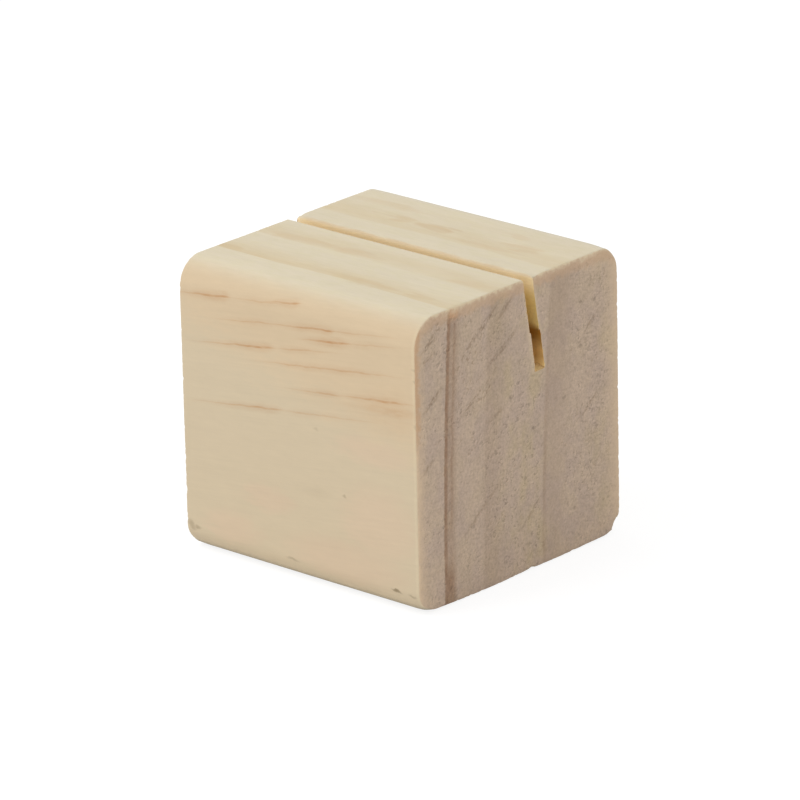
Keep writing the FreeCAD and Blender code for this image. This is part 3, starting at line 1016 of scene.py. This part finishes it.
def pine():
    """Planed and sawn pine, told apart by what the mesh says of each place."""
    wood = Wood("pine")
    end_grain = wood.attribute("end_grain")
    in_slot = wood.attribute("in_slot")
    slot_depth = wood.attribute("slot_depth")
    rim_gap = wood.attribute("rim_gap")
    chip = wood.attribute("chip")

    slot_gap = slot_gap_field(wood)
    ring, on_long, on_end = ring_pattern(wood, end_grain)
    long_colour, fibre = long_grain(wood, on_long, end_grain, slot_gap)
    end_colour, grit = sawn_end(wood, ring, on_end, slot_gap)
    end_colour = rim_tints(wood, end_colour, rim_gap)
    frayed = wood.noise((1.5, 1.5, 1.5), 2.0, 0.6, 19) * end_grain * (1.0 - end_grain) * 5.2
    colour = wood.mix((end_grain + frayed).rise(0.25, 0.75), long_colour, end_colour)
    colour = wood.mix(in_slot * slot_depth.rise(0.1, 0.6), colour, kerf_colour(wood, slot_depth))
    colour = wood.mix(chip, colour, CHIP_COLOUR)

    shader = wood.tree.nodes.new("ShaderNodeBsdfPrincipled")
    shader.inputs["Specular IOR Level"].default_value = SPECULAR
    wood.tree.links.new(colour.socket, shader.inputs["Base Color"])
    roughness = fibre * ROUGHNESS_SPREAD + end_grain * ROUGHNESS_SPREAD + ROUGHNESS
    wood.tree.links.new(roughness.socket, shader.inputs["Roughness"])

    relief = fibre * FIBRE_RELIEF * (1.0 - end_grain) + grit * GRIT_RELIEF * end_grain
    bump = wood.tree.nodes.new("ShaderNodeBump")
    bump.inputs["Distance"].default_value = MM
    bump.inputs["Strength"].default_value = 1.0
    wood.tree.links.new(relief.socket, bump.inputs["Height"])
    wood.tree.links.new(bump.outputs[0], shader.inputs["Normal"])

    output = wood.tree.nodes.new("ShaderNodeOutputMaterial")
    wood.tree.links.new(shader.outputs[0], output.inputs[0])
    return wood.material


# Studio

AMBIENT = 0.73
FLOOR_SIZE = 4.0
FLOOR_ALBEDO = 0.9
# The floor as the camera sees it: this much takes the shadow, and this much glows white
FLOOR_SHOWN = 0.24
FLOOR_GLOW = 0.84
KEY_POWER = 2.4
KEY_SIZE = 0.5
KEY_PLACE = Vector((-0.28, -0.45, 0.62))


def grey(value):
    return (value, value, value, 1)


def seen_directly(tree):
    """1 for what the camera sees, also in a mirror or through glass, and 0 for light on things."""
    path = tree.nodes.new("ShaderNodeLightPath")
    total = Field(tree, path.outputs["Is Camera Ray"])
    for name in ("Is Glossy Ray", "Is Transmission Ray"):
        total = total.most(Field(tree, path.outputs[name]))
    return total


def make_world():
    """Even light from all round, in front of pure white."""
    world = bpy.data.worlds.new("Studio")
    world.use_nodes = True
    tree = world.node_tree
    tree.nodes.clear()
    soft = tree.nodes.new("ShaderNodeBackground")
    soft.inputs["Strength"].default_value = AMBIENT
    white = tree.nodes.new("ShaderNodeBackground")
    for node in (soft, white):
        node.inputs["Color"].default_value = grey(1)
    mix = tree.nodes.new("ShaderNodeMixShader")
    tree.links.new(seen_directly(tree).socket, mix.inputs[0])
    tree.links.new(soft.outputs[0], mix.inputs[1])
    tree.links.new(white.outputs[0], mix.inputs[2])
    output = tree.nodes.new("ShaderNodeOutputWorld")
    tree.links.new(mix.outputs[0], output.inputs[0])
    bpy.context.scene.world = world


def make_floor():
    """A sheet of white paper that keeps the block's shadow."""
    half = FLOOR_SIZE / 2
    mesh = bpy.data.meshes.new("floor")
    corners = [(-half, -half, 0), (half, -half, 0), (half, half, 0), (-half, half, 0)]
    mesh.from_pydata(corners, [], [(0, 1, 2, 3)])
    floor = bpy.data.objects.new("floor", mesh)
    bpy.context.scene.collection.objects.link(floor)

    material = bpy.data.materials.new("white_paper")
    material.use_nodes = True
    tree = material.node_tree
    tree.nodes.clear()
    paper = tree.nodes.new("ShaderNodeBsdfDiffuse")
    paper.inputs["Color"].default_value = grey(FLOOR_ALBEDO)
    shown = tree.nodes.new("ShaderNodeBsdfDiffuse")
    shown.inputs["Color"].default_value = grey(FLOOR_SHOWN)
    glow = tree.nodes.new("ShaderNodeEmission")
    glow.inputs["Strength"].default_value = FLOOR_GLOW
    both = tree.nodes.new("ShaderNodeAddShader")
    tree.links.new(shown.outputs[0], both.inputs[0])
    tree.links.new(glow.outputs[0], both.inputs[1])
    mix = tree.nodes.new("ShaderNodeMixShader")
    tree.links.new(seen_directly(tree).socket, mix.inputs[0])
    tree.links.new(paper.outputs[0], mix.inputs[1])
    tree.links.new(both.outputs[0], mix.inputs[2])
    output = tree.nodes.new("ShaderNodeOutputMaterial")
    tree.links.new(mix.outputs[0], output.inputs[0])
    mesh.materials.append(material)


def make_key():
    """A soft lamp from the front left, aimed at the block."""
    data = bpy.data.lights.new("Softbox", "AREA")
    data.shape = "SQUARE"
    data.size = KEY_SIZE
    data.energy = KEY_POWER
    lamp = bpy.data.objects.new("Softbox", data)
    lamp.location = KEY_PLACE
    lamp.rotation_euler = (KEY_PLACE - CAMERA_AIM).to_track_quat("Z", "Y").to_euler()
    bpy.context.scene.collection.objects.link(lamp)


make_camera()
make_world()
make_floor()
make_key()
bpy.context.scene.view_settings.view_transform = "Standard"

block = make_block()
block.data.materials.append(pine())
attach(block, "root")
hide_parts("pine_block")
